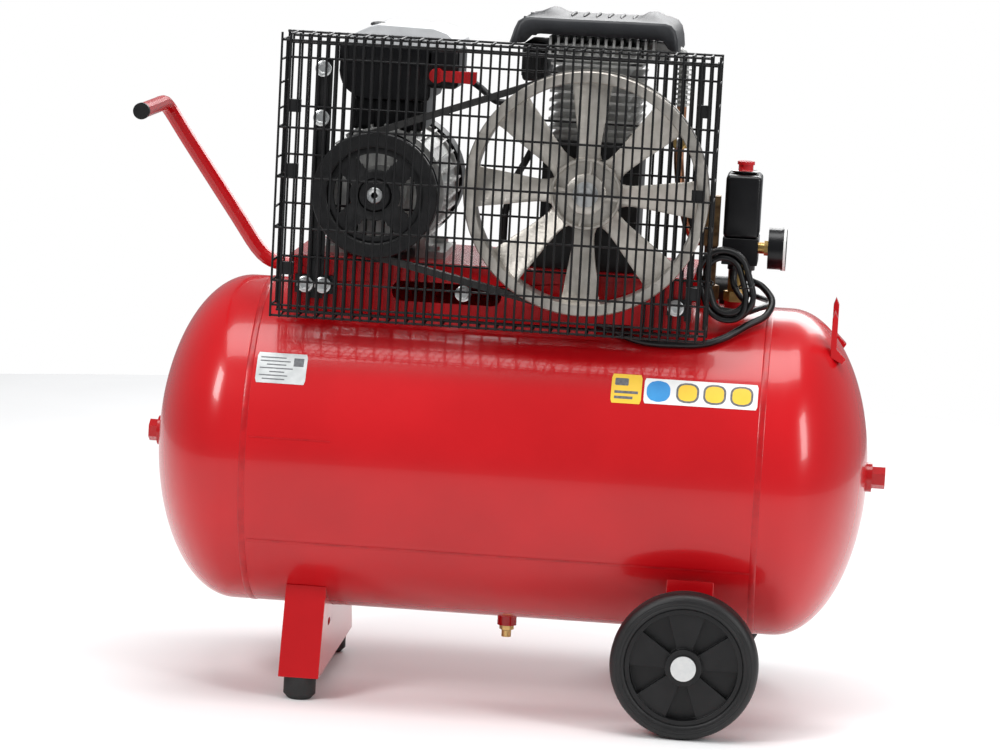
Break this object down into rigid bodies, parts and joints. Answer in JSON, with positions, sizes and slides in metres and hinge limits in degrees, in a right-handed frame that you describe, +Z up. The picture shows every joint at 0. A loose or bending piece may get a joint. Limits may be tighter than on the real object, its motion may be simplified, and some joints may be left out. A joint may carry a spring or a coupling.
{
  "type": "wheelbarrow air compressor",
  "caption": "Belt-driven piston air compressor on a horizontal tank with wheels, feet, a towing handle and a wire belt guard.",
  "frame": {"origin": "on the floor, under the middle of the whole machine's outline", "axes": "+X along the tank from the handle to the wheels, -Y the belt guard side, +Z up"},
  "size_m": [0.9302, 0.467, 0.8455],
  "materials": {
    "red_paint": "gloss",
    "black_wire": "satin",
    "black_plastic": "satin",
    "tyre_rubber": "matte",
    "foot_rubber": "matte",
    "zinc_steel": "satin",
    "bare_steel": "satin",
    "brass": "satin",
    "copper": "satin",
    "black_iron": "satin",
    "grey_iron": "matte",
    "grey_alloy": "satin",
    "pale_plastic": "satin",
    "red_plastic": "gloss",
    "lens": "gloss",
    "cable_sheath": "satin"
  },
  "bodies": {
    "frame": {"tank_barrel": "red_paint", "tank_head_left": "red_paint", "tank_head_right": "red_paint", "tank_bosses": "red_paint", "tank_plugs": "red_paint", "drain_body": "brass", "base_plate": "red_paint", "foot_bracket": "red_paint", "rubber_feet": "foot_rubber", "wheel_bracket": "red_paint", "stub_axles": "zinc_steel", "handle_tube": "red_paint", "handle_grips": "black_plastic", "cable_hooks": "red_paint", "guard_front_panel": "black_wire", "guard_rear_panel": "black_wire", "guard_rim": "black_wire", "guard_clips": "black_plastic", "guard_struts": "black_wire", "fixing_bolts": "zinc_steel", "drive_belt": "foot_rubber", "stator": "copper", "motor_housing": "grey_alloy", "end_shields": "grey_alloy", "fan_cowl": "black_plastic", "bearings": "bare_steel", "terminal_box": "black_plastic", "terminal_box_lid": "pale_plastic", "capacitors": "bare_steel", "crankcase": "grey_iron", "crankcase_cover": "grey_iron", "cylinder_block": "black_iron", "cylinder_head": "grey_alloy", "filter_cover": "black_plastic", "pistons": "bare_steel", "delivery_pipe": "copper", "brass_fittings": "brass", "pressure_switch": "black_plastic", "switch_cover": "black_plastic", "safety_valve": "brass", "gauge_case": "black_plastic", "gauge_lens": "lens", "motor_cable": "cable_sheath", "mains_cable": "cable_sheath", "mains_hank": "cable_sheath", "mains_plug": "black_plastic"},
    "wheel_front": {"wheel_front": "black_plastic", "tyre_front": "tyre_rubber"},
    "wheel_rear": {"wheel_rear": "black_plastic", "tyre_rear": "tyre_rubber"},
    "crank": {"flywheel": "grey_iron", "crankshaft": "bare_steel"},
    "rotor": {"motor_pulley": "black_iron", "rotor": "bare_steel", "cooling_fan": "black_plastic"},
    "switch_knob": {"switch_knob": "red_plastic"},
    "safety_ring": {"safety_ring": "zinc_steel"},
    "gauge_needle": {"gauge_needle": "black_plastic"},
    "isolator_lever": {"isolator_lever": "red_plastic"},
    "drain_screw": {"drain_screw": "brass"}
  },
  "joints": [
    {"name": "wheel_front_spin", "type": "hinge", "parent": "frame", "child": "wheel_front", "pos_m": [0.24105, -0.21, 0.088], "axis": [0, 1, 0], "continuous": true},
    {"name": "wheel_rear_spin", "type": "hinge", "parent": "frame", "child": "wheel_rear", "pos_m": [0.24105, 0.21, 0.088], "axis": [0, 1, 0], "continuous": true},
    {"name": "crank_spin", "type": "hinge", "parent": "frame", "child": "crank", "pos_m": [0.09045, -0.144, 0.633], "axis": [0, 1, 0], "continuous": true},
    {"name": "rotor_spin", "type": "hinge", "parent": "frame", "child": "rotor", "pos_m": [-0.15995, -0.144, 0.616], "axis": [0, 1, 0], "continuous": true},
    {"name": "switch_knob_press", "type": "slide", "parent": "frame", "child": "switch_knob", "axis": [0, 0, -1], "range_m": [0, 0.008]},
    {"name": "safety_ring_pull", "type": "slide", "parent": "frame", "child": "safety_ring", "axis": [0, -1, 0], "range_m": [0, 0.003], "stiffness_N_per_m": 400},
    {"name": "gauge_needle_turn", "type": "hinge", "parent": "frame", "child": "gauge_needle", "pos_m": [0.31705, -0.022, 0.568], "axis": [-1, 0, 0], "range_deg": [0, 270]},
    {"name": "isolator_lever_turn", "type": "hinge", "parent": "frame", "child": "isolator_lever", "pos_m": [-0.09895, -0.097, 0.758], "axis": [0, 1, 0], "range_deg": [0, 90]},
    {"name": "drain_screw_turn", "type": "hinge", "parent": "frame", "child": "drain_screw", "pos_m": [0.01205, 0, 0.07], "axis": [0, 0, 1], "range_deg": [0, 360]}
  ],
  "couplings": [
    {"joint": "rotor_spin", "follows": "crank_spin", "ratio": 1.9873}
  ]
}
